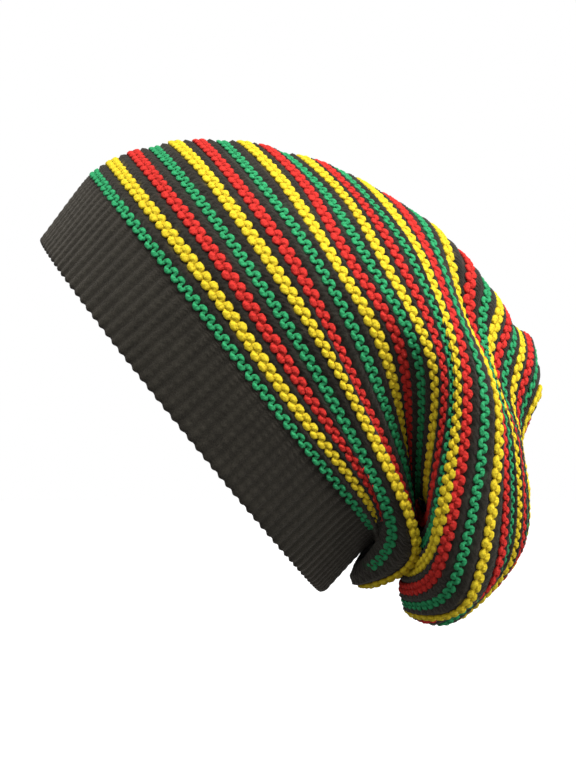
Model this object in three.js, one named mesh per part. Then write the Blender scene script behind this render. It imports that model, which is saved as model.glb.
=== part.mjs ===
// Slouchy knitted beanie: a ribbed band, and a soft black crown whose raised garter ridges
// repeat green, yellow and red. It has the form it takes on a head, its slouch hanging behind.
// Hat frame: x runs from the forehead to the nape, y to the far side, z out of the rim into
// the crown. The whole hat is then tipped back about y, with the rim's centre as the origin.
import * as THREE from "three";

// Driving sizes, in millimetres and degrees
const rimLength = 200.6;
const rimWidth = 162;
const rimTilt = 51.3;
const bandHeight = 31;
const bandWall = 3.4;
const ribCount = 120;
const ribDepth = 1.2;
const crownHeight = 111;
const crownWall = 2.2;
const ridgePitch = 9.8;
const ridgeWidth = 5.4;
const ridgeHeight = 2.4;
const clearance = 0.3;

// The ridges in order from the band to the gathered tip
const ridgeCount = 27;
const ridgeColours = ["green", "yellow", "red"];

// Columns that one ring of the crown is cut into
const columnCount = 30;

// Sections of the crown at chosen ridge rows: 0 is its seat on the band, ridgeCount + 1 its
// gathered tip. A ring passes six stations on each side, from the crest over the forehead to
// the nape. A station is [back, up, out]: shares of the rim's length from the rim's centre,
// of the crown's height above the band, and of half the rim's width, 0 on the middle plane.
const sectionColumns = ["row", "crest", "upper", "side", "low", "turn", "nape"];
const sectionTable = [
  [0, [-0.54, 0.0], [-0.43, 0.0, 0.6], [-0.16, 0.0, 0.98], [0.14, 0.0, 0.98],
      [0.39, 0.0, 0.62], [0.478, 0.0]],
  [1, [-0.54, 0.06], [-0.43, 0.06, 0.6], [-0.17, 0.06, 0.98], [0.135, 0.045, 0.98],
      [0.396, 0.045, 0.635], [0.495, 0.02]],
  [3, [-0.52, 0.23], [-0.41, 0.23, 0.59], [-0.17, 0.22, 0.99], [0.12, 0.17, 0.99],
      [0.409, 0.118, 0.667], [0.512, -0.04]],
  [4, [-0.5, 0.305], [-0.385, 0.31, 0.595], [-0.135, 0.29, 0.995], [0.155, 0.23, 0.98],
      [0.466, 0.1, 0.59], [0.509, -0.15]],
  [5, [-0.48, 0.38], [-0.36, 0.39, 0.6], [-0.1, 0.36, 1.0], [0.19, 0.29, 0.97],
      [0.528, 0.13, 0.5], [0.541, -0.13]],
  [6, [-0.45, 0.46], [-0.325, 0.46, 0.59], [-0.09, 0.43, 0.99], [0.18, 0.33, 0.95],
      [0.494, 0.168, 0.42], [0.554, -0.06]],
  [7, [-0.418, 0.53], [-0.29, 0.53, 0.58], [-0.07, 0.5, 0.98], [0.17, 0.41, 0.95],
      [0.45, 0.23, 0.38], [0.54, 0.035]],
  [9, [-0.35, 0.65], [-0.22, 0.66, 0.53], [-0.03, 0.6, 0.93], [0.18, 0.54, 0.96],
      [0.401, 0.29, 0.36], [0.489, 0.17]],
  [10, [-0.315, 0.69], [-0.18, 0.7, 0.54], [0.0, 0.65, 0.93], [0.215, 0.57, 0.97],
       [0.405, 0.327, 0.43], [0.462, 0.25]],
  [11, [-0.28, 0.74], [-0.14, 0.75, 0.55], [0.03, 0.69, 0.92], [0.25, 0.59, 0.98],
       [0.438, 0.316, 0.56], [0.48, 0.285]],
  [13, [-0.21, 0.82], [-0.1, 0.82, 0.5], [0.06, 0.78, 0.84], [0.29, 0.62, 0.97],
       [0.502, 0.243, 0.71], [0.547, 0.118]],
  [15, [-0.1, 0.9], [-0.02, 0.89, 0.5], [0.13, 0.81, 0.8], [0.34, 0.62, 0.96],
       [0.583, 0.158, 0.66], [0.597, -0.015]],
  [16, [-0.04, 0.94], [0.02, 0.92, 0.49], [0.168, 0.815, 0.77], [0.385, 0.64, 0.92],
       [0.633, 0.155, 0.62], [0.626, -0.049]],
  [17, [0.02, 0.97], [0.07, 0.94, 0.46], [0.197, 0.825, 0.6], [0.42, 0.66, 0.83],
       [0.681, 0.177, 0.55], [0.651, -0.057]],
  [18, [0.1, 0.985], [0.14, 0.96, 0.44], [0.228, 0.83, 0.58], [0.452, 0.645, 0.75],
       [0.685, 0.285, 0.47], [0.682, -0.035]],
  [19, [0.17, 0.986], [0.2, 0.96, 0.42], [0.27, 0.825, 0.59], [0.48, 0.64, 0.7],
       [0.675, 0.35, 0.43], [0.717, 0.02]],
  [21, [0.25, 0.986], [0.285, 0.94, 0.4], [0.35, 0.77, 0.58], [0.505, 0.66, 0.62],
       [0.677, 0.435, 0.37], [0.72, 0.2]],
  [22, [0.285, 0.97], [0.315, 0.93, 0.38], [0.38, 0.77, 0.55], [0.505, 0.67, 0.56],
       [0.665, 0.48, 0.35], [0.703, 0.29]],
  [23, [0.312, 0.98], [0.345, 0.925, 0.36], [0.41, 0.77, 0.5], [0.505, 0.68, 0.5],
       [0.64, 0.53, 0.33], [0.712, 0.36]],
  [25, [0.37, 0.985], [0.41, 0.905, 0.28], [0.45, 0.77, 0.38], [0.507, 0.68, 0.38],
       [0.59, 0.6, 0.26], [0.655, 0.54]],
  [26, [0.448, 0.9], [0.455, 0.84, 0.2], [0.475, 0.76, 0.27], [0.508, 0.69, 0.27],
       [0.565, 0.64, 0.18], [0.605, 0.61]],
  [27, [0.482, 0.79], [0.487, 0.76, 0.11], [0.495, 0.73, 0.15], [0.508, 0.7, 0.15],
       [0.525, 0.68, 0.1], [0.54, 0.67]],
  [28, [0.505, 0.72], [0.505, 0.72, 0], [0.505, 0.72, 0], [0.505, 0.72, 0], [0.505, 0.72, 0], [0.505, 0.72]],
];
const stationNames = sectionColumns.slice(1);
const rimRow = -1;
const seatRow = 0;
const tipRow = ridgeCount + 1;

// Half of a ridge's base, in rows
const ridgeReach = ridgeWidth / ridgePitch / 2;

// Stations of the elliptical rim, on the same six lines as the crown's
const rimAngles = [0, 36, 72, 108, 144, 180];

function rimSection() {
  return rimAngles.map((angle) => {
    const turned = THREE.MathUtils.degToRad(angle);
    const back = (-Math.cos(turned) * rimLength) / 2;
    return new THREE.Vector3(back, (-Math.sin(turned) * rimWidth) / 2, 0);
  });
}

function crownSection(line) {
  const section = Object.fromEntries(sectionColumns.map((name, i) => [name, line[i]]));
  return stationNames.map((name) => {
    const [back, up, out = 0] = section[name];
    return new THREE.Vector3(back * rimLength, (-out * rimWidth) / 2, bandHeight + up * crownHeight);
  });
}

const sectionRows = [rimRow, ...sectionTable.map((line) => line[0])];
const sectionStations = [rimSection(), ...sectionTable.map(crownSection)];

// Smooth curve through values set at uneven knots, with finite-difference slopes
function hermite(start, end, startSlope, endSlope, t) {
  const t2 = t * t;
  const t3 = t2 * t;
  const startPart = (2 * t3 - 3 * t2 + 1) * start + (t3 - 2 * t2 + t) * startSlope;
  return startPart + (3 * t2 - 2 * t3) * end + (t3 - t2) * endSlope;
}

function slopeAt(values, i) {
  const last = sectionRows.length - 1;
  const before = Math.max(i - 1, 0);
  const after = Math.min(i + 1, last);
  if (before === i || after === i) {
    return (values[after] - values[before]) / (sectionRows[after] - sectionRows[before]);
  }
  const stepIn = sectionRows[i] - sectionRows[before];
  const stepOut = sectionRows[after] - sectionRows[i];
  const slopeIn = (values[i] - values[before]) / stepIn;
  const slopeOut = (values[after] - values[i]) / stepOut;
  return (slopeIn * stepOut + slopeOut * stepIn) / (stepIn + stepOut);
}

function valueAtRow(values, row) {
  const lastStart = sectionRows.length - 2;
  let i = 0;
  while (i < lastStart && row > sectionRows[i + 1]) {
    i += 1;
  }
  const step = sectionRows[i + 1] - sectionRows[i];
  const t = (row - sectionRows[i]) / step;
  return hermite(values[i], values[i + 1], slopeAt(values, i) * step, slopeAt(values, i + 1) * step, t);
}

// Closed curve of the hat's outer face at any row
function ringCurve(row) {
  const near = stationNames.map((_, station) => {
    const [x, y, z] = ["x", "y", "z"].map((axis) =>
      valueAtRow(sectionStations.map((points) => points[station][axis]), row),
    );
    return new THREE.Vector3(x, y, z);
  });
  const far = near.slice(1, -1).reverse().map((point) => new THREE.Vector3(point.x, -point.y, point.z));
  return new THREE.CatmullRomCurve3([...near, ...far], true, "catmullrom", 0.5);
}

// Points, outward normals and row spacing of one ring. The normals are taken over a span of
// rows and of the ring: a short one follows the face, a long one rounds off its folds.
const closeSpan = { rows: 0.05, turn: 0.01 };
const broadSpan = { rows: 0.5, turn: 0.03 };

function ringSamples(row, span) {
  const curve = ringCurve(row);
  const lowerRow = Math.max(row - span.rows, rimRow);
  const upperRow = Math.min(row + span.rows, tipRow);
  const lower = ringCurve(lowerRow);
  const upper = ringCurve(upperRow);
  return Array.from({ length: columnCount }, (_, column) => {
    const t = column / columnCount;
    const along = curve.getPoint((t + span.turn) % 1).sub(curve.getPoint((t + 1 - span.turn) % 1));
    const across = upper.getPoint(t).sub(lower.getPoint(t));
    const spacing = across.length() / (upperRow - lowerRow);
    const normal = along.cross(across).normalize();
    return { point: curve.getPoint(t), normal, spacing };
  });
}

// One ring lifted off the outer face; a negative lift lies inside the hat
function liftedRing(row, lift, span = closeSpan) {
  return ringSamples(row, span).map(({ point, normal, spacing }) => {
    const height = typeof lift === "function" ? lift(spacing) : lift;
    return point.addScaledVector(normal, height);
  });
}

// Closed body from a loop of rings: each ring is a list of points, or one point at a pole.
// Both sides of the hat are cut on mirrored diagonals. The span that closes the loop takes
// the other diagonal, so that a ridge's underside has the facets of the crown below it.
function meshFromRings(rings) {
  const positions = [];
  const starts = rings.map((ring) => {
    const start = positions.length / 3;
    ring.forEach((point) => positions.push(point.x, point.y, point.z));
    return start;
  });
  const indices = [];
  for (let i = 0; i < rings.length; i += 1) {
    const next = (i + 1) % rings.length;
    const count = Math.max(rings[i].length, rings[next].length);
    for (let column = 0; column < count; column += 1) {
      const following = (column + 1) % count;
      const a = starts[i] + (column % rings[i].length);
      const b = starts[i] + (following % rings[i].length);
      const c = starts[next] + (following % rings[next].length);
      const d = starts[next] + (column % rings[next].length);
      const nearSide = column < count / 2;
      const closing = i === rings.length - 1;
      const halves = nearSide !== closing ? [[a, b, c], [a, c, d]] : [[a, b, d], [b, c, d]];
      halves
        .filter((corners) => new Set(corners).size === 3)
        .forEach((corners) => indices.push(...corners));
    }
  }
  const geometry = new THREE.BufferGeometry();
  geometry.setAttribute("position", new THREE.Float32BufferAttribute(positions, 3));
  geometry.setIndex(indices);
  geometry.computeVertexNormals();
  return geometry;
}

// Yarns of the hat
const yarnColours = {
  black: "#3a3530",
  green: "#2fae6d",
  yellow: "#f4d425",
  red: "#d8322c",
};

function yarn(colour) {
  return new THREE.MeshStandardMaterial({ color: yarnColours[colour], roughness: 0.95, metalness: 0 });
}

// Ribbed band: two rib edges for each rib, cut to the same chords as the crown's seat
function bandRing(row, lift, drop) {
  const ring = liftedRing(row, lift);
  const ribColumns = Math.round((2 * ribCount) / columnCount);
  return ring.flatMap((point, column) => {
    const next = ring[(column + 1) % columnCount];
    return Array.from({ length: ribColumns }, (_, step) => {
      const cut = point.clone().lerp(next, step / ribColumns);
      cut.z -= drop;
      return cut;
    });
  });
}

function ribbed(ring) {
  return ring.map((point, column) => {
    const inward = new THREE.Vector3(-point.x, -point.y, 0).normalize();
    const depth = column % 2 === 0 ? 0 : ribDepth;
    return point.clone().addScaledVector(inward, depth);
  });
}

function ribbedBand() {
  const outerRim = ribbed(bandRing(rimRow, 0, 0));
  const outerTop = ribbed(bandRing(seatRow, 0, clearance));
  const innerTop = bandRing(seatRow, -bandWall, clearance);
  const innerRim = bandRing(rimRow, -bandWall, 0);
  [innerTop, innerRim].forEach((ring, i) => {
    const level = i === 0 ? bandHeight - clearance : 0;
    ring.forEach((point) => point.setZ(level));
  });
  const mesh = new THREE.Mesh(meshFromRings([outerRim, outerTop, innerTop, innerRim]), yarn("black"));
  mesh.name = "ribbed_band";
  return mesh;
}

// Crown: a hollow shell, its outer face cut at both edges of every ridge, and its inner face
// as finely only where the nape's two folds turn sharply. It is made as a front part on the
// band and a back part that ends at the tip, which meet halfway between two ridges. The back
// part's inner face is cut at every second ridge.
const foldedRidges = { first: 3, last: 11 };
const partingRow = 12.5;
const halfParting = clearance / ridgePitch / 2;

function innerRowsAt(ridge) {
  const folded = ridge >= foldedRidges.first && ridge <= foldedRidges.last;
  const cut = ridge < partingRow || ridge % 2 === 1;
  if (folded) {
    return [ridge - ridgeReach, ridge + ridgeReach];
  }
  return cut ? [ridge] : [];
}

function shellRings(firstRow, lastRow) {
  const outerRows = [];
  const innerRows = [];
  for (let ridge = 1; ridge <= ridgeCount; ridge += 1) {
    outerRows.push(ridge - ridgeReach, ridge + ridgeReach);
    innerRows.push(...innerRowsAt(ridge));
  }
  const between = (row) => row > firstRow && row < lastRow;
  const ends = lastRow < tipRow ? [lastRow] : [];
  const outer = [firstRow, ...outerRows.filter(between), ...ends];
  const inner = [firstRow, ...innerRows.filter(between), ...ends];
  return {
    outer: outer.map((row) => liftedRing(row, 0)),
    inner: inner.map((row) => liftedRing(row, -crownWall, broadSpan)).reverse(),
  };
}

function frontCrown() {
  const { outer, inner } = shellRings(seatRow, partingRow - halfParting);
  inner[inner.length - 1].forEach((point) => point.setZ(bandHeight));
  const mesh = new THREE.Mesh(meshFromRings([...outer, ...inner]), yarn("black"));
  mesh.name = "crown_ground_front";
  return mesh;
}

function centreOf(points) {
  const sum = points.reduce((total, point) => total.add(point), new THREE.Vector3());
  return sum.divideScalar(points.length);
}

function backCrown() {
  const { outer, inner } = shellRings(partingRow + halfParting, tipRow);
  const tip = ringCurve(tipRow).getPoint(0);
  const inward = centreOf(outer[outer.length - 1]).sub(tip).normalize();
  const innerTip = tip.clone().addScaledVector(inward, crownWall);
  const mesh = new THREE.Mesh(meshFromRings([...outer, [tip], [innerTip], ...inner]), yarn("black"));
  mesh.name = "crown_ground_back";
  return mesh;
}

// One ridge: a three-sided ring of yarn that lies on the crown along its row
function garterRidge(row, colour) {
  const crestLift = (spacing) => clearance + ridgeHeight * Math.min(1, spacing / ridgePitch);
  const rings = [
    liftedRing(row - ridgeReach, clearance),
    liftedRing(row, crestLift),
    liftedRing(row + ridgeReach, clearance),
  ];
  const mesh = new THREE.Mesh(meshFromRings(rings), yarn(colour));
  mesh.name = `ridge_${String(row).padStart(2, "0")}_${colour}`;
  return mesh;
}

// The hat, tipped back as it sits
const beanie = new THREE.Group();
beanie.name = "slouchy_beanie";
beanie.rotation.y = THREE.MathUtils.degToRad(rimTilt);
beanie.add(ribbedBand(), frontCrown(), backCrown());
for (let row = 1; row <= ridgeCount; row += 1) {
  beanie.add(garterRidge(row, ridgeColours[(row - 1) % ridgeColours.length]));
}

export default beanie;
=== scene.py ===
"""Slouchy knitted beanie: a ribbed band, a soft black crown and 27 garter ridges in yarn.

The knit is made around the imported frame, in metres. Hat frame: x runs from the forehead to the
nape, y to the far side, z out of the rim into the crown. The hat is then tipped back about y.
"""
import math

import bpy
import numpy as np
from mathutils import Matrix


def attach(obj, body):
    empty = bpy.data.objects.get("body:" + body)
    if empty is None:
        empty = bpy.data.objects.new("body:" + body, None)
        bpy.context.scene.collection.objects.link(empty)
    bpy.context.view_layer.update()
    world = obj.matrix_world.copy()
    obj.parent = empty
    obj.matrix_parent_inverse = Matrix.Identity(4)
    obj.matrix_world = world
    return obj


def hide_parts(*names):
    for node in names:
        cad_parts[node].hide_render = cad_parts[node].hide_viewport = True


bl_info = {
    "name": "Slouchy Knitted Beanie",
    "version": (1, 0, 0),
    "blender": (4, 5, 0),
    "location": "3D View > Sidebar > Beanie",
    "description": "Knits a slouchy striped beanie around its frame",
    "category": "Add Mesh",
}

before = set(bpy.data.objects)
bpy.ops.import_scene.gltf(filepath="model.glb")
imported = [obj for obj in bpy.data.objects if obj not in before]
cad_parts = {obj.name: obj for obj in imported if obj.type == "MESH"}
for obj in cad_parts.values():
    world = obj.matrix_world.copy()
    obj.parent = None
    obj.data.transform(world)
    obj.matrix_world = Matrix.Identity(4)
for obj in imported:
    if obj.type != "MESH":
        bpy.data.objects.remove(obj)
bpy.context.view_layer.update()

MM = 0.001
BODY = "root"
RIDGE_NODES = sorted(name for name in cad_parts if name.startswith("ridge_"))
GROUND_NODES = sorted(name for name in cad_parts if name.startswith("crown_ground"))
RIDGE_COUNT = len(RIDGE_NODES)

# The ridges' yarns take turns; row 0 would be the first of them
YARNS = ("red", "green", "yellow")

# Sections of the crown at chosen ridge rows: 0 is its seat on the band, RIDGE_COUNT + 1 its
# gathered tip. A ring passes six stations on each side, from the crest over the forehead to
# the nape: crest, upper, side, low, turn and nape. A station is (back, up, out), in shares of
# the rim's length, of the crown's height above the band, and of half the rim's width.
SECTIONS = {
    0: [(-0.54, 0.0), (-0.43, 0.0, 0.6), (-0.16, 0.0, 0.98), (0.14, 0.0, 0.98),
        (0.39, 0.0, 0.62), (0.478, 0.0)],
    1: [(-0.54, 0.06), (-0.43, 0.06, 0.6), (-0.17, 0.06, 0.98), (0.135, 0.045, 0.98),
        (0.396, 0.045, 0.635), (0.495, 0.02)],
    3: [(-0.52, 0.23), (-0.41, 0.23, 0.59), (-0.17, 0.22, 0.99), (0.12, 0.17, 0.99),
        (0.409, 0.118, 0.667), (0.512, -0.04)],
    4: [(-0.5, 0.305), (-0.385, 0.31, 0.595), (-0.135, 0.29, 0.995), (0.155, 0.23, 0.98),
        (0.466, 0.1, 0.59), (0.509, -0.15)],
    5: [(-0.48, 0.38), (-0.36, 0.39, 0.6), (-0.1, 0.36, 1.0), (0.19, 0.29, 0.97),
        (0.528, 0.13, 0.5), (0.541, -0.13)],
    6: [(-0.45, 0.46), (-0.325, 0.46, 0.59), (-0.09, 0.43, 0.99), (0.18, 0.33, 0.95),
        (0.494, 0.168, 0.42), (0.554, -0.06)],
    7: [(-0.418, 0.53), (-0.29, 0.53, 0.58), (-0.07, 0.5, 0.98), (0.17, 0.41, 0.95),
        (0.45, 0.23, 0.38), (0.54, 0.035)],
    9: [(-0.35, 0.65), (-0.22, 0.66, 0.53), (-0.03, 0.6, 0.93), (0.18, 0.54, 0.96),
        (0.401, 0.29, 0.36), (0.489, 0.17)],
    10: [(-0.315, 0.69), (-0.18, 0.7, 0.54), (0.0, 0.65, 0.93), (0.215, 0.57, 0.97),
         (0.405, 0.327, 0.43), (0.462, 0.25)],
    11: [(-0.28, 0.74), (-0.14, 0.75, 0.55), (0.03, 0.69, 0.92), (0.25, 0.59, 0.98),
         (0.438, 0.316, 0.56), (0.48, 0.285)],
    13: [(-0.21, 0.82), (-0.1, 0.82, 0.5), (0.06, 0.78, 0.84), (0.29, 0.62, 0.97),
         (0.502, 0.243, 0.71), (0.547, 0.118)],
    15: [(-0.1, 0.9), (-0.02, 0.89, 0.5), (0.13, 0.81, 0.8), (0.34, 0.62, 0.96),
         (0.583, 0.158, 0.66), (0.597, -0.015)],
    16: [(-0.04, 0.94), (0.02, 0.92, 0.49), (0.168, 0.815, 0.77), (0.385, 0.64, 0.92),
         (0.633, 0.155, 0.62), (0.626, -0.049)],
    17: [(0.02, 0.97), (0.07, 0.94, 0.46), (0.197, 0.825, 0.6), (0.42, 0.66, 0.83),
         (0.681, 0.177, 0.55), (0.651, -0.057)],
    18: [(0.1, 0.985), (0.14, 0.96, 0.44), (0.228, 0.83, 0.58), (0.452, 0.645, 0.75),
         (0.685, 0.285, 0.47), (0.682, -0.035)],
    19: [(0.17, 0.986), (0.2, 0.96, 0.42), (0.27, 0.825, 0.59), (0.48, 0.64, 0.7),
         (0.675, 0.35, 0.43), (0.717, 0.02)],
    21: [(0.25, 0.986), (0.285, 0.94, 0.4), (0.35, 0.77, 0.58), (0.505, 0.66, 0.62),
         (0.677, 0.435, 0.37), (0.72, 0.2)],
    22: [(0.285, 0.97), (0.315, 0.93, 0.38), (0.38, 0.77, 0.55), (0.505, 0.67, 0.56),
         (0.665, 0.48, 0.35), (0.703, 0.29)],
    23: [(0.312, 0.98), (0.345, 0.925, 0.36), (0.41, 0.77, 0.5), (0.505, 0.68, 0.5),
         (0.64, 0.53, 0.33), (0.712, 0.36)],
    25: [(0.37, 0.985), (0.41, 0.905, 0.28), (0.45, 0.77, 0.38), (0.507, 0.68, 0.38),
         (0.59, 0.6, 0.26), (0.655, 0.54)],
    26: [(0.448, 0.9), (0.455, 0.84, 0.2), (0.475, 0.76, 0.27), (0.508, 0.69, 0.27),
         (0.565, 0.64, 0.18), (0.605, 0.61)],
    27: [(0.482, 0.79), (0.487, 0.76, 0.11), (0.495, 0.73, 0.15), (0.508, 0.7, 0.15),
         (0.525, 0.68, 0.1), (0.54, 0.67)],
    28: [(0.505, 0.72)] * 6,
}
RIM_ROW = -1.0
TIP_ROW = float(RIDGE_COUNT + 1)
RIM_ANGLES = np.radians([0, 36, 72, 108, 144, 180])

# Rows and turns to each side over which a normal is taken: the close spans follow the face, the
# broad ones round its folds
CLOSE_SPAN = (0.05, 0.01)
BROAD_SPAN = (0.5, 0.03)

# Samples that measure a ring's length, the least length that a vector is divided by, and how
# near each other points are merged
RING_SAMPLES = 1201
LEAST_LENGTH = 1e-12
MERGE_DISTANCE = 1e-6


def length_property(name, description, default):
    """A length that a user can change, in metres."""
    return bpy.props.FloatProperty(name=name, description=description, default=default, unit="LENGTH")


def colour_property(name, description, default):
    """A colour that a user can change."""
    return bpy.props.FloatVectorProperty(
        name=name, description=description, default=default, size=3, min=0, max=1, subtype="COLOR")


class BeanieForm(bpy.types.PropertyGroup):
    """Sizes of the rim, the band and the crown."""
    rim_length: length_property("Rim length", "Rim from the forehead to the nape", 0.2006)
    rim_width: length_property("Rim width", "Rim from side to side", 0.162)
    rim_tilt: bpy.props.FloatProperty(
        name="Tilt", description="How far the hat is tipped back",
        default=math.radians(51.3), subtype="ANGLE")
    band_height: length_property("Band height", "Band from the rim to the crown's seat", 0.031)
    band_wall: length_property("Band wall", "Thickness of the ribbed band", 0.0034)
    crown_height: length_property("Crown height", "Crown above the band", 0.111)
    crown_wall: length_property("Crown wall", "Thickness of the crown's ground", 0.0022)
    ridge_pitch: length_property("Ridge pitch", "From one ridge to the next", 0.0098)


class BeanieStitches(bpy.types.PropertyGroup):
    """Sizes of the stitches and yarns."""
    rib_count: bpy.props.IntProperty(
        name="Ribs", description="Ribs round the band", default=120, min=12)
    rib_depth: length_property("Rib depth", "Depth of the furrows between ribs", 0.00065)
    course_height: length_property("Course height", "Height of one stitch of the band", 0.0034)
    stitch_length: length_property("Stitch length", "One stitch along a ridge", 0.0051)
    bump_reach: length_property("Bump reach", "From a ridge's middle to the middle of its bumps", 0.00138)
    green_radius: length_property("Green yarn", "Radius of the green strand", 0.0011)
    yellow_radius: length_property("Yellow yarn", "Radius of the yellow strand", 0.00168)
    red_radius: length_property("Red yarn", "Radius of the red strand", 0.00156)


class BeanieColours(bpy.types.PropertyGroup):
    """Colours of the yarns, lit, and deep for the gaps between their fibres and for painted shade in their
    folds.
    """
    black: colour_property("Black", "Black-brown yarn of the band and the ground", (0.039, 0.035, 0.027))
    # Deep black: the gaps between fibres, and painted shade in the band's furrows and the ground's stitch
    # hollows
    black_fibres_and_shade: colour_property(
        "Deep black", "Black-brown yarn between its fibres", (0.0062, 0.0055, 0.0042))
    green: colour_property("Green", "Green yarn", (0.045, 0.43, 0.165))
    # Each yarn's deep colour, here and below: its darker fibres, and painted shade in its creases against
    # the ground
    green_deep: colour_property("Deep green", "Green yarn in its creases", (0.007, 0.07, 0.026))
    yellow: colour_property("Yellow", "Yellow yarn", (1.0, 0.77, 0.04))
    yellow_deep: colour_property("Deep yellow", "Yellow yarn in its creases", (0.38, 0.2, 0.004))
    red: colour_property("Red", "Red yarn", (0.8, 0.046, 0.036))
    red_deep: colour_property("Deep red", "Red yarn in its creases", (0.2, 0.01, 0.008))


# The hat's outer face

class HatSurface:
    """Outer face of the hat, in its own frame: a point for any row and any turn round it."""

    def __init__(self, form):
        self.form = form
        rim = np.stack([
            -np.cos(RIM_ANGLES) * form.rim_length / 2,
            -np.sin(RIM_ANGLES) * form.rim_width / 2,
            np.zeros(len(RIM_ANGLES)),
        ], axis=1)
        self.rows = np.array([RIM_ROW, *SECTIONS], dtype=float)
        self.stations = np.array([rim, *map(self.crown_section, SECTIONS.values())])
        self.slopes = self.row_slopes()

    def crown_section(self, section):
        """Six stations of one section, in metres."""
        form = self.form
        shares = np.array([(*station, 0.0)[:3] for station in section])
        back, up, out = shares.T
        return np.stack([
            back * form.rim_length,
            -out * form.rim_width / 2,
            form.band_height + up * form.crown_height,
        ], axis=1)

    def row_slopes(self):
        """Slopes of the stations at the sections' rows, by finite differences."""
        steps = np.diff(self.rows)[:, None, None]
        rises = np.diff(self.stations, axis=0) / steps
        inner = (rises[:-1] * steps[1:] + rises[1:] * steps[:-1]) / (steps[:-1] + steps[1:])
        return np.concatenate([rises[:1], inner, rises[-1:]])

    def rings(self, rows):
        """Ten control points of the closed ring at each row."""
        i = np.clip(np.searchsorted(self.rows, rows, side="left") - 1, 0, len(self.rows) - 2)
        step = (self.rows[i + 1] - self.rows[i])[:, None, None]
        t = (rows - self.rows[i])[:, None, None] / step
        start_slope, end_slope = self.slopes[i] * step, self.slopes[i + 1] * step
        near = hermite(self.stations[i], self.stations[i + 1], start_slope, end_slope, t)
        far = near[:, -2:0:-1] * (1, -1, 1)
        return np.concatenate([near, far], axis=1)

    def points(self, rows, turns):
        """Points of the face at rows and turns, two arrays of one shape."""
        shape = np.shape(turns)
        rows, which = np.unique(np.ravel(rows), return_inverse=True)
        rings = self.rings(rows)
        count = rings.shape[1]
        place = (np.ravel(turns) % 1.0) * count
        i = np.floor(place).astype(int) % count
        t = (place - np.floor(place))[:, None]
        before, start, end, after = (rings[which, (i + shift) % count] for shift in (-1, 0, 1, 2))
        found = hermite(start, end, (end - before) / 2, (after - start) / 2, t)
        return found.reshape(*shape, 3)

    def face(self, rows, turns, span=CLOSE_SPAN):
        """Points and outward normals of the face at rows and turns."""
        row_span, turn_span = span
        rows, turns = np.broadcast_arrays(rows, turns)
        lower = np.maximum(rows - row_span, RIM_ROW)
        upper = np.minimum(rows + row_span, TIP_ROW)
        along = self.points(rows, turns + turn_span) - self.points(rows, turns - turn_span)
        across = self.points(upper, turns) - self.points(lower, turns)
        return self.points(rows, turns), unit(np.cross(along, across))

    def lifted(self, rows, turns, lift, span=CLOSE_SPAN):
        """Points lifted off the face; a negative lift lies inside the hat."""
        points, normals = self.face(rows, turns, span)
        return points + normals * lift[..., None]

    def even_turns(self, row, shares):
        """Turns at the given shares of a ring's length, and that length."""
        turns = np.linspace(0, 1, RING_SAMPLES)
        points = self.points(np.full(turns.shape, float(row)), turns)
        lengths = np.concatenate([[0], np.cumsum(np.linalg.norm(np.diff(points, axis=0), axis=1))])
        whole = np.floor(shares)
        return np.interp((shares - whole) * lengths[-1], lengths, turns) + whole, lengths[-1]

    def tip_back(self, points):
        """Points of the hat's own frame in the standing frame."""
        cos, sin = math.cos(self.form.rim_tilt), math.sin(self.form.rim_tilt)
        x, y, z = np.moveaxis(points, -1, 0)
        return np.stack([x * cos + z * sin, y, z * cos - x * sin], axis=-1)


def hermite(start, end, start_slope, end_slope, t):
    """Cubic between two values with end slopes."""
    t2 = t * t
    t3 = t2 * t
    start_part = (2 * t3 - 3 * t2 + 1) * start + (t3 - 2 * t2 + t) * start_slope
    return start_part + (3 * t2 - 2 * t3) * end + (t3 - t2) * end_slope


def unit(vectors):
    """Vectors of length one."""
    return vectors / np.maximum(np.linalg.norm(vectors, axis=-1, keepdims=True), LEAST_LENGTH)


def smooth_step(values, start, end):
    """0 at start, 1 at end, and smooth between them; either one may be the greater."""
    t = np.clip((values - start) / (end - start), 0, 1)
    return t * t * (3 - 2 * t)


# Making pieces

def deselect_all():
    """Leaves nothing selected, so that an operator acts on the new piece alone."""
    bpy.ops.object.select_all(action="DESELECT")


def woven_piece(name, points, uv_scale, **attributes):
    """Rolls a grid up along both its sides into a closed skin that passes the given points.

    points[i, j] runs along the grid's y with i and along its x with j. Its faces point outwards
    where x to y turns left as seen from outside. Attributes hold one number for each point.
    """
    deep, wide = points.shape[:2]
    deselect_all()
    bpy.ops.mesh.primitive_grid_add(x_subdivisions=wide, y_subdivisions=deep, size=2)
    piece = bpy.context.object
    piece.name = piece.data.name = name
    mesh = piece.data
    flat = np.empty(len(mesh.vertices) * 3)
    mesh.vertices.foreach_get("co", flat)
    x, y, _ = flat.reshape(-1, 3).T
    j = np.rint((x + 1) / 2 * wide).astype(int) % wide
    i = np.rint((y + 1) / 2 * deep).astype(int) % deep
    mesh.vertices.foreach_set("co", points[i, j].ravel())
    for label, values in attributes.items():
        layer = mesh.attributes.new(label, "FLOAT", "POINT")
        layer.data.foreach_set("value", np.ascontiguousarray(values[i, j], dtype=np.float32))
    uv = np.empty(len(mesh.loops) * 2)
    layer = mesh.uv_layers.active
    layer.data.foreach_get("uv", uv)
    layer.data.foreach_set("uv", (uv.reshape(-1, 2) * uv_scale).ravel())
    mesh.update()
    bpy.ops.object.mode_set(mode="EDIT")
    bpy.ops.mesh.select_all(action="SELECT")
    bpy.ops.mesh.remove_doubles(threshold=MERGE_DISTANCE)
    bpy.ops.object.mode_set(mode="OBJECT")
    bpy.ops.object.shade_smooth()
    return piece


def dress(piece, material, slot, *nodes):
    """Gives a piece its finish and its body, and hides the CAD nodes that it stands for."""
    piece.data.materials.clear()
    piece.data.materials.append(material)
    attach(piece, BODY)
    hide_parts(*nodes)


# Materials

WHITE = (1.0, 1.0, 1.0)
SHEEN_ROUGHNESS = 0.5
SPECULAR_LEVEL = 0.1

# Where most of a noise's values lie
NOISE_SPAN = (0.3, 0.7)


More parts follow.
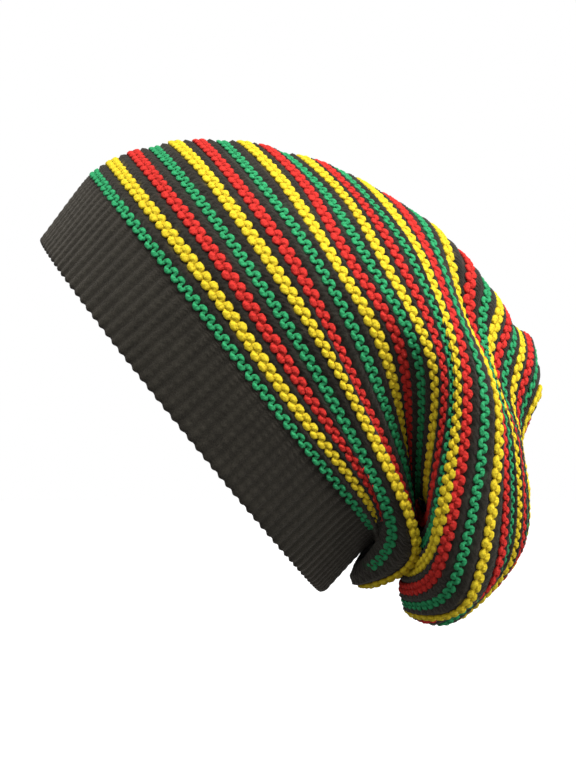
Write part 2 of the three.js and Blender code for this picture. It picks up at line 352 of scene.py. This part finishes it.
class Shading:
    """A new material's node tree, with short calls that add and link nodes."""

    def __init__(self, name):
        self.material = bpy.data.materials.new(name)
        self.material.use_nodes = True
        self.tree = self.material.node_tree
        self.surface = self.tree.nodes["Principled BSDF"]

    def add(self, kind, inputs=None, **settings):
        """A node whose inputs, by name or number, take values or other nodes' outputs."""
        made = self.tree.nodes.new(kind)
        for key, value in settings.items():
            setattr(made, key, value)
        for key, value in (inputs or {}).items():
            self.feed(made.inputs[key], value)
        return made

    def feed(self, socket, value):
        """Sets a socket's value, or links another socket to it."""
        if isinstance(value, bpy.types.NodeSocket):
            self.tree.links.new(value, socket)
        else:
            socket.default_value = value

    def math(self, operation, *values, clamp=False):
        """Result of a Math node."""
        node = self.add("ShaderNodeMath", dict(enumerate(values)), operation=operation, use_clamp=clamp)
        return node.outputs[0]

    def noise(self, scale, detail=2.0, roughness=0.5):
        """Noise on the piece's own coordinates, from 0 to 1."""
        place = self.add("ShaderNodeTexCoord").outputs["Object"]
        inputs = {"Vector": place, "Scale": scale, "Detail": detail, "Roughness": roughness}
        return self.add("ShaderNodeTexNoise", inputs).outputs["Fac"]

    def wave(self, turns, count=1):
        """Sine waves from 0 to 1, so many in each turn."""
        sine = self.math("SINE", self.math("MULTIPLY", turns, count * math.tau))
        return self.math("MULTIPLY_ADD", sine, 0.5, 0.5)

    def tone(self, fuzz, fuzz_share, fold_shade, patches):
        """Share of the lit colour, from 0 to 1: its fuzz by its share, plus painted shade in its folds, and
        its patches.
        """
        return self.math("ADD", self.math("MULTIPLY_ADD", fuzz, fuzz_share, fold_shade), patches, clamp=True)

    def mix(self, share, first, second):
        """Colour between two colours."""
        node = self.add("ShaderNodeMix", data_type="RGBA")
        for key, value in (("Factor_Float", share), ("A_Color", first), ("B_Color", second)):
            socket = next(s for s in node.inputs if s.identifier == key)
            self.feed(socket, (*value, 1.0) if isinstance(value, tuple) else value)
        return next(s for s in node.outputs if s.identifier == "Result_Color")

    def stretch(self, value, low, high, to_low=0.0, to_high=1.0):
        """A value stretched from one range to another, and kept inside it."""
        inputs = {"Value": value, "From Min": low, "From Max": high, "To Min": to_low, "To Max": to_high}
        return self.add("ShaderNodeMapRange", inputs).outputs["Result"]

    def attribute(self, name):
        """A number that the piece's mesh carries."""
        return self.add("ShaderNodeAttribute", attribute_name=name).outputs["Fac"]

    def uv(self):
        """The two coordinates of the piece's own UV map."""
        place = self.add("ShaderNodeTexCoord").outputs["UV"]
        parts = self.add("ShaderNodeSeparateXYZ", {"Vector": place})
        return parts.outputs["X"], parts.outputs["Y"]

    def glow(self, strength):
        """White light from the surface itself."""
        self.surface.inputs["Emission Color"].default_value = (*WHITE, 1.0)
        self.surface.inputs["Emission Strength"].default_value = strength

    def finish(self, colour, relief, depth, roughness, sheen, sheen_tint):
        """Feeds the surface: colour, relief whose depth is in metres, and even gloss and sheen."""
        bump = self.add("ShaderNodeBump", {"Height": relief, "Distance": depth, "Strength": 1.0})
        inputs = self.surface.inputs
        self.feed(inputs["Base Color"], colour)
        self.feed(inputs["Normal"], bump.outputs["Normal"])
        inputs["Roughness"].default_value = roughness
        inputs["Sheen Weight"].default_value = sheen
        inputs["Sheen Roughness"].default_value = SHEEN_ROUGHNESS
        inputs["Sheen Tint"].default_value = (*sheen_tint, 1.0)
        inputs["Specular IOR Level"].default_value = SPECULAR_LEVEL
        return self.material


# The coloured yarns: plies that turn round the strand, fibres in its relief and its tone, painted
# shade in the creases where its rise is low, and broad patches. A tone goes from 0, deep, to 1, lit.
PLY_COUNT = 2
PLY_TURNS_PER_STITCH = 2.5
PLY_RELIEF = 0.35
YARN_FIBRES = {"scale": 1100.0, "detail": 6.0, "roughness": 0.75}
YARN_FIBRE_SPAN = (0.35, 0.65)
YARN_FIBRE_RELIEF = 1.1
YARN_FIBRE_TONE = 0.6
# Painted shade in the creases: the rises over which it fades, its share of the tone, and its offset
YARN_CREASE_SPAN = (-0.15, 0.36)
YARN_CREASE_TONE = 0.7
YARN_CREASE_SHADE = -0.15
YARN_PATCH_SCALE = 240.0
YARN_PATCH_TONES = (-0.08, 0.1)
YARN_DEPTH = 0.9 * MM
YARN_ROUGHNESS = 1.0
YARN_SHEEN = 0.2


def yarn_material(name, lit, deep):
    """Thick matt yarn: twisted plies along the strand, loose fibres, and painted shade in its creases."""
    shading = Shading(name)
    around, along = shading.uv()
    twist = shading.math("ADD", shading.math("MULTIPLY", along, PLY_TURNS_PER_STITCH), around)
    plies = shading.wave(twist, PLY_COUNT)
    fibres = shading.noise(**YARN_FIBRES)
    relief = shading.math(
        "MULTIPLY_ADD", plies, PLY_RELIEF, shading.math("MULTIPLY", fibres, YARN_FIBRE_RELIEF))
    # Painted shade: the yarn is darker where it lies low against the ground, in its creases
    crease_shade = shading.stretch(shading.attribute("rise"), *YARN_CREASE_SPAN)
    fold_shade = shading.math("MULTIPLY_ADD", crease_shade, YARN_CREASE_TONE, YARN_CREASE_SHADE)
    fuzz = shading.stretch(fibres, *YARN_FIBRE_SPAN)
    patches = shading.stretch(shading.noise(YARN_PATCH_SCALE), *NOISE_SPAN, *YARN_PATCH_TONES)
    tone = shading.tone(fuzz, YARN_FIBRE_TONE, fold_shade, patches)
    # The deep colour holds the darker fibres and the painted shade of the creases
    colour = shading.mix(tone, tuple(deep), tuple(lit))
    return shading.finish(colour, relief, YARN_DEPTH, YARN_ROUGHNESS, YARN_SHEEN, tuple(lit))


# The black-brown yarn of the band and the ground
BLACK_FIBRES = {"scale": 1900.0, "detail": 4.0, "roughness": 0.6}
BLACK_PATCHES = {"scale": 150.0, "detail": 3.0}
BLACK_DEPTH = 0.5 * MM
BLACK_ROUGHNESS = 0.95
BLACK_SHEEN_TINT = (0.75, 0.68, 0.6)


# The ribbed band

BAND_TOP_ROW = 0.72
COLUMNS_PER_RIB = 7
RINGS_PER_COURSE = 6
INNER_RINGS = 14

# The rim's rounded edge: its rings, its share of the band's height, and its drop at the furrows
# and what the ribs add to it, in shares of the edge
RIM_RINGS = 5
RIM_EDGE = 0.045
RIM_DROP = 0.75
RIM_SCALLOP = 0.35

# Rows over which the band's outer face tucks in under the crown
TUCK_ROWS = 0.12

# The V of a stitch: how far its legs lean, in courses, and the relief of the legs and of the
# parting between them, in shares of the rib's
LEG_LEAN = 0.42
LEG_RELIEF = 0.2
PARTING_RELIEF = 0.16
PARTING_WIDTH = 0.2

# Tones of the fibres, of the ribs over the furrows, which is painted shade in the furrows, and of
# the patches; the inner face has the painted shade of a rib's flank
BAND_FIBRE_TONE = 0.75
BAND_FURROW_SHADE = 0.25
INNER_RISE = 0.5
BAND_PATCH_TONES = (-0.1, 0.15)
BAND_SHEEN = 0.16


def band_material(colours):
    """Black-brown ribbing: fuzzy, with painted shade in the furrows between the ribs."""
    shading = Shading("rib_black_knit")
    fibres = shading.noise(**BLACK_FIBRES)
    fuzz = shading.stretch(fibres, *NOISE_SPAN)
    # Painted shade: the band is darker in its furrows and lighter on its ribs
    fold_shade = shading.math("MULTIPLY", shading.attribute("rise"), BAND_FURROW_SHADE)
    patches = shading.stretch(shading.noise(**BLACK_PATCHES), *NOISE_SPAN, *BAND_PATCH_TONES)
    tone = shading.tone(fuzz, BAND_FIBRE_TONE, fold_shade, patches)
    colour = shading.mix(tone, tuple(colours.black_fibres_and_shade), tuple(colours.black))
    return shading.finish(colour, fibres, BLACK_DEPTH, BLACK_ROUGHNESS, BAND_SHEEN, BLACK_SHEEN_TINT)


def rib_relief(columns, courses, depth):
    """Lift of the ribbing, each rib a column of V-shaped stitches, and how high its ribs stand."""
    across = (columns + 0.5) % 1.0 * 2 - 1
    rib = np.cos(across * math.pi / 2) ** 2
    legs = np.cos(math.tau * (courses - LEG_LEAN * np.abs(across)))
    parting = np.exp(-(across / PARTING_WIDTH) ** 2)
    relief = rib + rib * (LEG_RELIEF * legs - PARTING_RELIEF * parting)
    return (relief - 1) * depth, rib


class BEANIE_OT_band(bpy.types.Operator):
    """Knits the ribbed band round the head, from its scalloped rim to the first ridge"""
    bl_idname = "beanie.band"
    bl_label = "Ribbed band"

    def execute(self, context):
        form, stitches = context.scene.beanie_form, context.scene.beanie_stitches
        surface = HatSurface(form)
        ribs = np.arange(stitches.rib_count * COLUMNS_PER_RIB) / COLUMNS_PER_RIB
        turns = ribs / stitches.rib_count
        rows = BAND_TOP_ROW - RIM_ROW
        courses = round(form.band_height * rows / stitches.course_height)
        edge = rows * RIM_EDGE
        outer = np.linspace(RIM_ROW + edge, BAND_TOP_ROW, courses * RINGS_PER_COURSE)
        inner = np.linspace(BAND_TOP_ROW, RIM_ROW + edge, INNER_RINGS)

        course = (outer - RIM_ROW) / rows * courses
        relief, rib = rib_relief(ribs, course[:, None], stitches.rib_depth)
        tuck = smooth_step(outer, BAND_TOP_ROW - TUCK_ROWS, BAND_TOP_ROW)[:, None] * form.band_wall / 2
        outside = surface.lifted(outer[:, None], turns, relief - tuck)
        hollows = (1 - np.cos(ribs * math.tau)) * stitches.rib_depth / 4
        inside = surface.lifted(inner[:, None], turns, hollows - form.band_wall)

        rim_turn = np.linspace(0, math.pi, RIM_RINGS + 2)[1:-1][:, None]
        share = (1 + np.cos(rim_turn))[..., None] / 2
        rim = inside[-1] * share + outside[0] * (1 - share)
        rim[..., 2] -= np.sin(rim_turn) * edge * form.band_height * (RIM_DROP + RIM_SCALLOP * rib)
        points = np.concatenate([rim, outside, inside])
        # The rise sets the painted shade: the ribs' relief outside, a rib flank's shade inside
        rises = np.full(points.shape[:2], INNER_RISE)
        rises[:len(rim) + len(outer)] = rib
        piece = woven_piece("band_knit", surface.tip_back(points), (stitches.rib_count, courses), rise=rises)
        dress(piece, band_material(context.scene.beanie_colours), "rib_black", "ribbed_band")
        return {"FINISHED"}


# The crown's ground

GROUND_FIRST_ROW = 0.6
GROUND_COLUMNS = 440
GROUND_STITCHES = 110
OUTER_RINGS_PER_ROW = 6
INNER_RINGS_PER_ROW = 2

# Rows between the tip and the last ring, on the outside and on the inside
OUTER_TIP_GAP = 0.05
INNER_TIP_GAP = 0.3

# Half the width of a ridge and where the puffs beside it begin, in rows
RIDGE_REACH = 0.275
PUFF_START = 0.7 * RIDGE_REACH

# Height of the puffs, what the stitches add to it, and how deep the ground lies under a ridge
PUFF_HEIGHT = 1.25 * MM
PUFF_SCALLOP = 0.5 * MM
UNDER_RIDGE = 0.25 * MM

# Where the ground sinks under the band's top, in rows, and how far on its outside and inside
SEAT_ROWS = (0.95, 0.7)
SEAT_OUTSIDE = 1.2 * MM
SEAT_INSIDE = 0.6 * MM

# Where the ground swells at the nape, beside the lobe's fold: turns to each side where it starts
# and is full, rows over which it grows and ends, and its height
SWELL_TURNS = (0.11, 0.05)
SWELL_GROWS = (0.9, 2.0)
SWELL_ENDS = (4.4, 3.4)
SWELL_HEIGHT = 2.2 * MM

# The ground's chevron stitches, and its tones and those of its fibres and patches; the chevrons'
# tone is painted shade between their legs
COURSES_PER_ROW = 2.0
CHEVRON_LEAN = 1.6
CHEVRON_RELIEF = 0.6
CHEVRON_SHADE = 0.2
GROUND_FIBRE_TONE = 0.45
GROUND_PATCH_TONES = (-0.05, 0.3)
GROUND_SHEEN = 0.12

# Edge of a stripe on the inner face, in shares of a ridge's reach, and the coloured fluff that
# the ridges shed beside them: its patches, its greatest share, and its rows from a ridge
STRIPE_EDGE = (1.05, 0.85)
FLUFF_PATCHES = (0.55, 0.8)
FLUFF_SHARE = 0.12
FLUFF_ROWS = (0.45, 0.3)

# Keeps a row's colour clear of the step to the colour before it
STEP_MARGIN = 0.1


def ridge_colour(shading, nearest, colours):
    """Colour of the yarn whose turn it is at a whole row."""
    turn = shading.math("FLOORED_MODULO", nearest, float(len(YARNS)))
    share = shading.math("DIVIDE", turn, float(len(YARNS)))
    ramp = shading.add("ShaderNodeValToRGB", {"Fac": shading.math("ADD", share, STEP_MARGIN)})
    ramp.color_ramp.interpolation = "CONSTANT"
    steps = ramp.color_ramp.elements
    steps[0].color = (*getattr(colours, YARNS[0]), 1.0)
    for number, yarn in enumerate(YARNS[1:], start=1):
        steps.new(number / len(YARNS)).color = (*getattr(colours, yarn), 1.0)
    return ramp.outputs["Color"]


def ground_material(colours):
    """Black-brown knit with chevron stitches, painted shade between their legs, and fuzz; its inner face
    shows the ridges' colours.
    """
    shading = Shading("ground_black_knit")
    across, _ = shading.uv()
    row = shading.attribute("row")
    leg = shading.math("ABSOLUTE", shading.math("SUBTRACT", shading.math("FRACT", across), 0.5))
    leaning = shading.math("MULTIPLY", leg, CHEVRON_LEAN)
    legs = shading.wave(shading.math("MULTIPLY_ADD", row, COURSES_PER_ROW, leaning))
    fibres = shading.noise(**BLACK_FIBRES)
    patches = shading.noise(**BLACK_PATCHES)
    relief = shading.math("MULTIPLY_ADD", legs, CHEVRON_RELIEF, fibres)
    # Painted shade: darker between the chevrons' legs, lighter on them
    tone = shading.tone(
        shading.stretch(fibres, *NOISE_SPAN), GROUND_FIBRE_TONE,
        shading.math("MULTIPLY", legs, CHEVRON_SHADE),
        shading.stretch(patches, *NOISE_SPAN, *GROUND_PATCH_TONES))
    black = shading.mix(tone, tuple(colours.black_fibres_and_shade), tuple(colours.black))

    nearest = shading.math("ROUND", row)
    offset = shading.math("ABSOLUTE", shading.math("SUBTRACT", row, nearest))
    stripe = shading.stretch(offset, *(RIDGE_REACH * share for share in STRIPE_EDGE))
    on_ridges = shading.math("LESS_THAN", row, RIDGE_COUNT + 0.5)
    stripe = shading.math("MULTIPLY", stripe, on_ridges)
    stripe = shading.math("MULTIPLY", stripe, shading.attribute("inside"))
    shed = shading.stretch(patches, *FLUFF_PATCHES, 0.0, FLUFF_SHARE)
    fluff = shading.math("MULTIPLY", shed, shading.stretch(offset, *FLUFF_ROWS))
    coloured = shading.math("ADD", stripe, fluff, clamp=True)
    colour = shading.mix(coloured, black, ridge_colour(shading, nearest, colours))
    return shading.finish(colour, relief, BLACK_DEPTH, BLACK_ROUGHNESS, GROUND_SHEEN, BLACK_SHEEN_TINT)


def ground_relief(rows, turns):
    """Lift of the ground: puffed between the ridges, sunk under the band, swollen at the nape."""
    between = smooth_step(np.abs(rows - np.rint(rows)), PUFF_START, 0.5)
    scallops = np.abs(np.cos(math.pi * GROUND_STITCHES * turns))
    puffed = between * (PUFF_HEIGHT + PUFF_SCALLOP * scallops) - UNDER_RIDGE
    sunk = smooth_step(rows, *SEAT_ROWS) * SEAT_OUTSIDE
    beside = smooth_step(np.abs(turns - 0.5), *SWELL_TURNS)
    swollen = smooth_step(rows, *SWELL_GROWS) * smooth_step(rows, *SWELL_ENDS)
    return puffed - sunk + SWELL_HEIGHT * beside * swollen


class BEANIE_OT_crown(bpy.types.Operator):
    """Knits the crown's black ground, a hollow shell that ends at the gathered tip"""
    bl_idname = "beanie.crown"
    bl_label = "Crown ground"

    def execute(self, context):
        form = context.scene.beanie_form
        surface = HatSurface(form)
        rows = TIP_ROW - GROUND_FIRST_ROW
        outer = np.linspace(GROUND_FIRST_ROW, TIP_ROW - OUTER_TIP_GAP, round(rows * OUTER_RINGS_PER_ROW))
        inner = np.linspace(TIP_ROW - INNER_TIP_GAP, GROUND_FIRST_ROW, round(rows * INNER_RINGS_PER_ROW))
        turns = np.arange(GROUND_COLUMNS) / GROUND_COLUMNS
        relief = ground_relief(outer[:, None], turns)
        outside = surface.lifted(outer[:, None], turns, relief)
        sunk = smooth_step(inner, *SEAT_ROWS)[:, None] * SEAT_INSIDE
        inside = surface.lifted(inner[:, None], turns, sunk - form.crown_wall, BROAD_SPAN)

        tip = surface.points(np.array([TIP_ROW]), np.array([0.0]))[0]
        inward = unit(outside[-1].mean(axis=0) - tip)
        tips = np.stack([tip, tip + inward * form.crown_wall])
        tips = np.broadcast_to(tips[:, None], (2, GROUND_COLUMNS, 3))
        points = np.concatenate([outside, tips, inside])
        levels = np.concatenate([outer, [TIP_ROW, TIP_ROW], inner])
        row = np.broadcast_to(levels[:, None], points.shape[:2])
        within = np.zeros(points.shape[:2])
        within[len(outer) + 1:] = 1.0
        piece = woven_piece(
            "crown_knit", surface.tip_back(points), (GROUND_STITCHES, 1.0), row=row, inside=within)
        dress(piece, ground_material(context.scene.beanie_colours), "ground_black", *GROUND_NODES)
        return {"FINISHED"}


# The garter ridges

POINTS_PER_STITCH = 12
FEWEST_STITCHES = 6
STRAND_SIDES = 8

# The strand's height as a share of its width, its backward lean between bumps in stitches, its
# lift and girth in shares of its radius, and how sharp the bumps are
STRAND_FLATNESS = 0.66
STRAND_LEAN = 0.115
STRAND_LIFT = 0.02
BUMP_LIFT = 0.34
BUMP_SHARPNESS = 1.5
MEAN_GIRTH = 0.94
BUMP_GIRTH = 0.1

# How much the hand's work varies: the lean in stitches, the others as shares
UNEVEN_LEAN = 0.03
UNEVEN_REACH = 0.06
UNEVEN_LIFT = 0.05
UNEVEN_GIRTH = 0.075

# Where ridges crowd, a strand's size is its room over the ridges' pitch plus a margin, down to
# a least size; its girth shrinks a little less than its reach
CROWD_MARGIN = 0.18
CROWDED_SIZE = 0.5
CROWDED_GIRTH_POWER = 0.8

# How far to each side of the nape, in turns, the first ridges are swallowed by the lobe's fold,
# over what edge they sink, how deep, and how much thinner they get
SWALLOWED = {1: 0.075, 2: 0.075, 3: 0.075, 4: 0.05}
FOLD_EDGE = 0.012
FOLD_DEPTH = 1.2 * MM
FOLD_THINNING = 0.7


def ridge_room(surface, row, turns, points):
    """Distance from each point of a ridge to the nearer of the ridges beside it."""
    beside = [near for near in (row - 1, row + 1) if 1 <= near <= RIDGE_COUNT]
    found = [surface.points(np.full(turns.shape, float(near)), turns) for near in beside]
    return np.min([np.linalg.norm(others - points, axis=1) for others in found], axis=0)


def ridge_strand(surface, row, radius, stitches, form):
    """Points of one ridge's closed strand, its rise off the ground, and its number of stitches.

    The strand runs from side to side of the ridge, one bump on each side for every stitch, with
    a backward lean between the bumps, which stand highest.
    """
    _, length = surface.even_turns(row, np.array([0.0]))
    count = max(round(length / stitches.stitch_length), FEWEST_STITCHES)
    chance = np.random.default_rng(row)
    phase = np.arange(count * POINTS_PER_STITCH) / POINTS_PER_STITCH
    swing = math.tau * phase

    def uneven(amount):
        knots = chance.normal(0, amount, 2 * count)
        return np.interp(phase * 2, np.arange(2 * count + 1), np.append(knots, knots[0]))

    lean = STRAND_LEAN * np.sin(2 * swing) + uneven(UNEVEN_LEAN)
    turns, _ = surface.even_turns(row, (phase + lean) / count)
    points, normals = surface.face(np.full(turns.shape, float(row)), turns)
    along = unit(np.roll(points, -1, axis=0) - np.roll(points, 1, axis=0))
    across = unit(np.cross(normals, along))
    room = ridge_room(surface, row, turns, points)
    scale = np.clip(room / form.ridge_pitch + CROWD_MARGIN, CROWDED_SIZE, 1.0)
    swallowed = SWALLOWED.get(row, 0.0)
    sunk = smooth_step(np.abs(turns - 0.5), swallowed, swallowed - FOLD_EDGE)
    thick = radius * scale ** CROWDED_GIRTH_POWER * (1 - FOLD_THINNING * sunk)
    reach = stitches.bump_reach * (1 + uneven(UNEVEN_REACH)) * scale * np.cos(swing)
    crest = np.abs(np.cos(swing)) ** BUMP_SHARPNESS
    rise = thick * (STRAND_LIFT + BUMP_LIFT * crest) * (1 + uneven(UNEVEN_LIFT))
    lift = rise * (1 - sunk) - FOLD_DEPTH * sunk
    centre = points + across * reach[:, None] + normals * lift[:, None]

    ahead = unit(np.roll(centre, -1, axis=0) - np.roll(centre, 1, axis=0))
    side = unit(normals - ahead * np.sum(normals * ahead, axis=1, keepdims=True))
    other = np.cross(ahead, side)
    angles = math.tau * np.arange(STRAND_SIDES) / STRAND_SIDES
    upward, outward = np.cos(angles)[:, None] * STRAND_FLATNESS, np.sin(angles)[:, None]
    ring = upward * side[:, None] + outward * other[:, None]
    girth = (thick * (MEAN_GIRTH + BUMP_GIRTH * np.cos(2 * swing)))[:, None]
    girth = girth * (1 + chance.normal(0, UNEVEN_GIRTH, (len(girth), STRAND_SIDES)))
    skin = centre[:, None] + ring * girth[..., None]
    # The strand's height off the ground; the yarn's material paints shade where it is low
    height = np.sum((skin - points[:, None]) * normals[:, None], axis=2) / (2 * radius)
    return skin, height, count


class BEANIE_OT_ridges(bpy.types.Operator):
    """Knits the garter ridges, each one strand of purl bumps that lies on the ground"""
    bl_idname = "beanie.ridges"
    bl_label = "Garter ridges"

    def execute(self, context):
        form, stitches = context.scene.beanie_form, context.scene.beanie_stitches
        colours = context.scene.beanie_colours
        surface = HatSurface(form)
        yarns = {
            yarn: (
                getattr(stitches, f"{yarn}_radius"),
                yarn_material(f"yarn_{yarn}", getattr(colours, yarn), getattr(colours, f"{yarn}_deep")),
            )
            for yarn in YARNS
        }
        for node in RIDGE_NODES:
            _, row, yarn = node.split("_")
            radius, material = yarns[yarn]
            skin, height, count = ridge_strand(surface, int(row), radius, stitches, form)
            piece = woven_piece(f"{node}_yarn", surface.tip_back(skin), (1.0, count), rise=height)
            dress(piece, material, f"yarn_{yarn}", node)
        return {"FINISHED"}


# Stage, lights and camera

# The view's height is in metres at the hat, the sensor's in millimetres
CAMERA_PLACE = (0.0473, -1.0, 0.0147)
VIEW_HEIGHT = 0.3406
SENSOR_HEIGHT = 24.0

FLOOR_HEIGHT = -0.45
FLOOR_SIZE = 16.0
FLOOR_GLOW = 0.45
FLOOR_ROUGHNESS = 0.9
FLOOR_SPECK_SCALE = 6.0
FLOOR_TONES = ((0.9, 0.9, 0.9), (0.93, 0.93, 0.93))
BACKDROP_SEGMENTS = 48
BACKDROP_RINGS = 24

# Strength of the sky's light from below and above, and the lamps' places and watts
SKY_BELOW = 0.05
SKY_ABOVE = 0.95
LIGHT_TARGET = (0.04, 0.0, 0.02)
LIGHT_SIZE = 0.8
LIGHTS = {"key_light": ((0.4, -1.0, 1.6), 43.0), "side_light": ((1.6, -0.4, 0.0), 14.0)}


def lay_floor():
    """The pale floor, with the faintest of specks."""
    deselect_all()
    bpy.ops.mesh.primitive_plane_add(size=FLOOR_SIZE, location=(0, 0, FLOOR_HEIGHT))
    floor = bpy.context.object
    floor.name = floor.data.name = "floor"
    bpy.ops.object.transform_apply(location=True, rotation=True, scale=True)
    shading = Shading("pale_floor")
    shading.glow(FLOOR_GLOW)
    speck = shading.stretch(shading.noise(FLOOR_SPECK_SCALE), *NOISE_SPAN)
    tone = shading.mix(speck, *FLOOR_TONES)
    floor.data.materials.append(shading.finish(tone, speck, 0.0, FLOOR_ROUGHNESS, 0.0, WHITE))
    floor.visible_diffuse = False


def hang_backdrop():
    """A white sphere round the stage, seen by the camera alone."""
    deselect_all()
    bpy.ops.mesh.primitive_uv_sphere_add(
        segments=BACKDROP_SEGMENTS, ring_count=BACKDROP_RINGS, radius=FLOOR_SIZE / 2)
    backdrop = bpy.context.object
    backdrop.name = backdrop.data.name = "backdrop"
    shading = Shading("white_backdrop")
    shading.surface.inputs["Base Color"].default_value = (0.0, 0.0, 0.0, 1.0)
    shading.surface.inputs["Specular IOR Level"].default_value = 0.0
    shading.glow(1.0)
    backdrop.data.materials.append(shading.material)
    for shown in ("diffuse", "glossy", "transmission", "volume_scatter", "shadow"):
        setattr(backdrop, f"visible_{shown}", False)


def light_sky(scene):
    """Soft white light from all round, brighter from above."""
    world = bpy.data.worlds.new("studio")
    world.use_nodes = True
    nodes, links = world.node_tree.nodes, world.node_tree.links
    height = nodes.new("ShaderNodeSeparateXYZ")
    links.new(nodes.new("ShaderNodeTexCoord").outputs["Generated"], height.inputs["Vector"])
    strength = nodes.new("ShaderNodeMapRange")
    strength.inputs["From Min"].default_value = -1.0
    strength.inputs["To Min"].default_value = SKY_BELOW
    strength.inputs["To Max"].default_value = SKY_ABOVE
    links.new(height.outputs["Z"], strength.inputs["Value"])
    links.new(strength.outputs["Result"], nodes["Background"].inputs["Strength"])
    nodes["Background"].inputs["Color"].default_value = (*WHITE, 1.0)
    scene.world = world


def area_light(name, place, power):
    """A square soft light that faces the hat."""
    deselect_all()
    aim = np.array(LIGHT_TARGET) - place
    bpy.ops.object.light_add(type="AREA", location=place)
    light = bpy.context.object
    light.name = light.data.name = name
    light.data.size = LIGHT_SIZE
    light.data.energy = power
    turn = math.atan2(aim[1], aim[0])
    fall = math.atan2(math.hypot(aim[0], aim[1]), -aim[2])
    light.rotation_euler = (fall, 0, turn - math.pi / 2)


def place_camera(scene):
    """The camera looks level along y, and its view is as high as the photograph's."""
    deselect_all()
    bpy.ops.object.camera_add(location=CAMERA_PLACE, rotation=(math.pi / 2, 0, 0))
    camera = bpy.context.object
    camera.name = "camera"
    camera.data.sensor_fit = "VERTICAL"
    camera.data.sensor_height = SENSOR_HEIGHT
    camera.data.lens = SENSOR_HEIGHT * abs(CAMERA_PLACE[1]) / VIEW_HEIGHT
    scene.camera = camera


class BEANIE_OT_stage(bpy.types.Operator):
    """Sets the pale floor, the soft studio light and the camera"""
    bl_idname = "beanie.stage"
    bl_label = "Stage"

    def execute(self, context):
        lay_floor()
        hang_backdrop()
        light_sky(context.scene)
        for name, (place, power) in LIGHTS.items():
            area_light(name, place, power)
        context.scene.view_settings.view_transform = "Standard"
        place_camera(context.scene)
        return {"FINISHED"}


class BEANIE_PT_panel(bpy.types.Panel):
    """Sizes, colours and pieces of the beanie"""
    bl_label = "Beanie"
    bl_idname = "BEANIE_PT_panel"
    bl_space_type = "VIEW_3D"
    bl_region_type = "UI"
    bl_category = "Beanie"

    def draw(self, context):
        for name in GROUPS:
            group = getattr(context.scene, name)
            box = self.layout.box()
            for setting in group.__annotations__:
                box.prop(group, setting)
        for operator in OPERATORS:
            self.layout.operator(operator.bl_idname)


OPERATORS = (BEANIE_OT_band, BEANIE_OT_crown, BEANIE_OT_ridges, BEANIE_OT_stage)
GROUPS = {"beanie_form": BeanieForm, "beanie_stitches": BeanieStitches, "beanie_colours": BeanieColours}
CLASSES = (*GROUPS.values(), *OPERATORS, BEANIE_PT_panel)


def register():
    """Adds the classes and the scene's settings."""
    for each in CLASSES:
        bpy.utils.register_class(each)
    for name, group in GROUPS.items():
        setattr(bpy.types.Scene, name, bpy.props.PointerProperty(type=group))


def unregister():
    """Takes the settings and the classes away."""
    for name in GROUPS:
        delattr(bpy.types.Scene, name)
    for each in reversed(CLASSES):
        bpy.utils.unregister_class(each)


def main():
    """Makes the beanie and its stage."""
    register()
    bpy.ops.beanie.band()
    bpy.ops.beanie.crown()
    bpy.ops.beanie.ridges()
    bpy.ops.beanie.stage()


if __name__ == "__main__":
    main()
